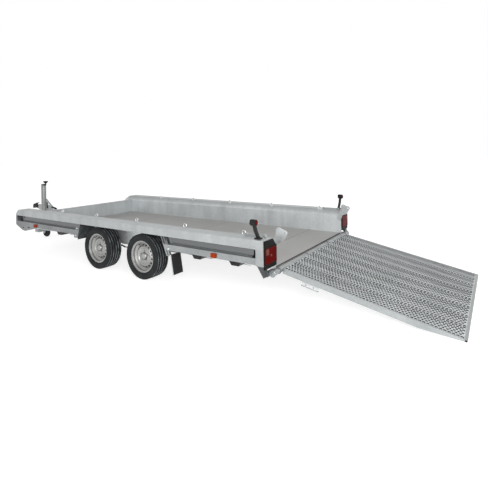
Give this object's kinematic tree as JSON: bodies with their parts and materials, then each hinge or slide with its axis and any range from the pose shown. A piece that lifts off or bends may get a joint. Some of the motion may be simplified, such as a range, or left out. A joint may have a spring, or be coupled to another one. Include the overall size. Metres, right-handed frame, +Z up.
{
  "type": "plant trailer",
  "caption": "Low tandem-axle plant trailer with a flat boarded bed between deep galvanised side rails over the wheels, a V drawbar with jockey wheel and a full-width lowered rear ramp.",
  "frame": {"origin": "on the ground under the middle of the whole part's box, ramp lowered", "axes": "+X forward to the coupling, +Y to the trailer's left, +Z up"},
  "size_m": [7.632, 2.386, 0.992],
  "materials": {
    "galvanised_steel": "hot-dip galvanised, satin",
    "floor_board": "smooth sealed board",
    "silver_paint": "silver satin",
    "tyre_rubber": "matt",
    "black_rubber": "matt",
    "black_plastic": "satin",
    "red_lens": "gloss",
    "amber_lens": "gloss",
    "black_paint": "satin black",
    "white_plate": "blank"
  },
  "bodies": {
    "chassis": {"side_wall_left": "galvanised_steel", "side_wall_right": "galvanised_steel", "lower_rail_front_left": "galvanised_steel", "lower_rail_front_right": "galvanised_steel", "lower_rail_rear_left": "galvanised_steel", "lower_rail_rear_right": "galvanised_steel", "rear_pillar_left": "galvanised_steel", "rear_pillar_right": "galvanised_steel", "drawbar_arm_left": "galvanised_steel", "drawbar_arm_right": "galvanised_steel", "ramp_latch_left": "galvanised_steel", "ramp_latch_right": "galvanised_steel", "rear_lamp_left": "black_plastic", "rear_lens_left": "red_lens", "marker_lamp_left": "black_rubber", "rear_lamp_right": "black_plastic", "rear_lens_right": "red_lens", "marker_lamp_right": "black_rubber", "axle_front": "galvanised_steel", "axle_rear": "galvanised_steel", "swing_arms_front": "galvanised_steel", "swing_arms_rear": "galvanised_steel", "front_panel": "galvanised_steel", "floor_bearers": "galvanised_steel", "front_beam": "galvanised_steel", "rear_beam": "galvanised_steel", "jockey_sleeve": "galvanised_steel", "lashing_rings": "galvanised_steel", "arch_liners": "black_plastic", "mudflaps": "black_rubber", "floor_boards": "floor_board", "coupling_housing": "galvanised_steel", "gaiter": "black_rubber", "coupling_head": "black_paint", "handbrake_lever": "black_paint", "handbrake_grip": "black_plastic", "jockey_crank": "black_plastic", "side_lamps": "amber_lens", "outriggers": "black_paint"},
    "ramp": {"ramp_frame": "galvanised_steel", "ramp_tube": "galvanised_steel", "ramp_planks": "galvanised_steel", "ramp_end_caps": "black_plastic", "number_plate": "white_plate"},
    "jockey_leg": {"jockey_leg": "galvanised_steel"},
    "jockey_fork": {"jockey_fork": "galvanised_steel"},
    "jockey_wheel": {"jockey_wheel": "black_rubber"},
    "wheel_front_left": {"rim_front_left": "silver_paint", "tyre_front_left": "tyre_rubber"},
    "wheel_front_right": {"rim_front_right": "silver_paint", "tyre_front_right": "tyre_rubber"},
    "wheel_rear_left": {"rim_rear_left": "silver_paint", "tyre_rear_left": "tyre_rubber"},
    "wheel_rear_right": {"rim_rear_right": "silver_paint", "tyre_rear_right": "tyre_rubber"}
  },
  "joints": [
    {"name": "wheel_front_left_spin", "type": "hinge", "parent": "chassis", "child": "wheel_front_left", "pos_m": [0.21196, 1.05, 0.26], "axis": [0, 1, 0], "continuous": true},
    {"name": "wheel_front_right_spin", "type": "hinge", "parent": "chassis", "child": "wheel_front_right", "pos_m": [0.21196, -1.05, 0.26], "axis": [0, 1, 0], "continuous": true},
    {"name": "wheel_rear_left_spin", "type": "hinge", "parent": "chassis", "child": "wheel_rear_left", "pos_m": [-0.60004, 1.05, 0.26], "axis": [0, 1, 0], "continuous": true},
    {"name": "wheel_rear_right_spin", "type": "hinge", "parent": "chassis", "child": "wheel_rear_right", "pos_m": [-0.60004, -1.05, 0.26], "axis": [0, 1, 0], "continuous": true},
    {"name": "ramp_hinge", "type": "hinge", "parent": "chassis", "child": "ramp", "pos_m": [-2.26004, 0, 0.302], "axis": [0, 1, 0], "range_deg": [0, 101]},
    {"name": "jockey_slide", "type": "slide", "parent": "chassis", "child": "jockey_leg", "axis": [0, 0, 1], "range_m": [0, 0.088]},
    {"name": "jockey_swivel", "type": "hinge", "parent": "jockey_leg", "child": "jockey_fork", "pos_m": [2.81596, 0.356, 0.19], "axis": [0, 0, 1], "continuous": true},
    {"name": "jockey_wheel_spin", "type": "hinge", "parent": "jockey_fork", "child": "jockey_wheel", "pos_m": [2.73796, 0.356, 0.08], "axis": [0, 1, 0], "continuous": true}
  ]
}
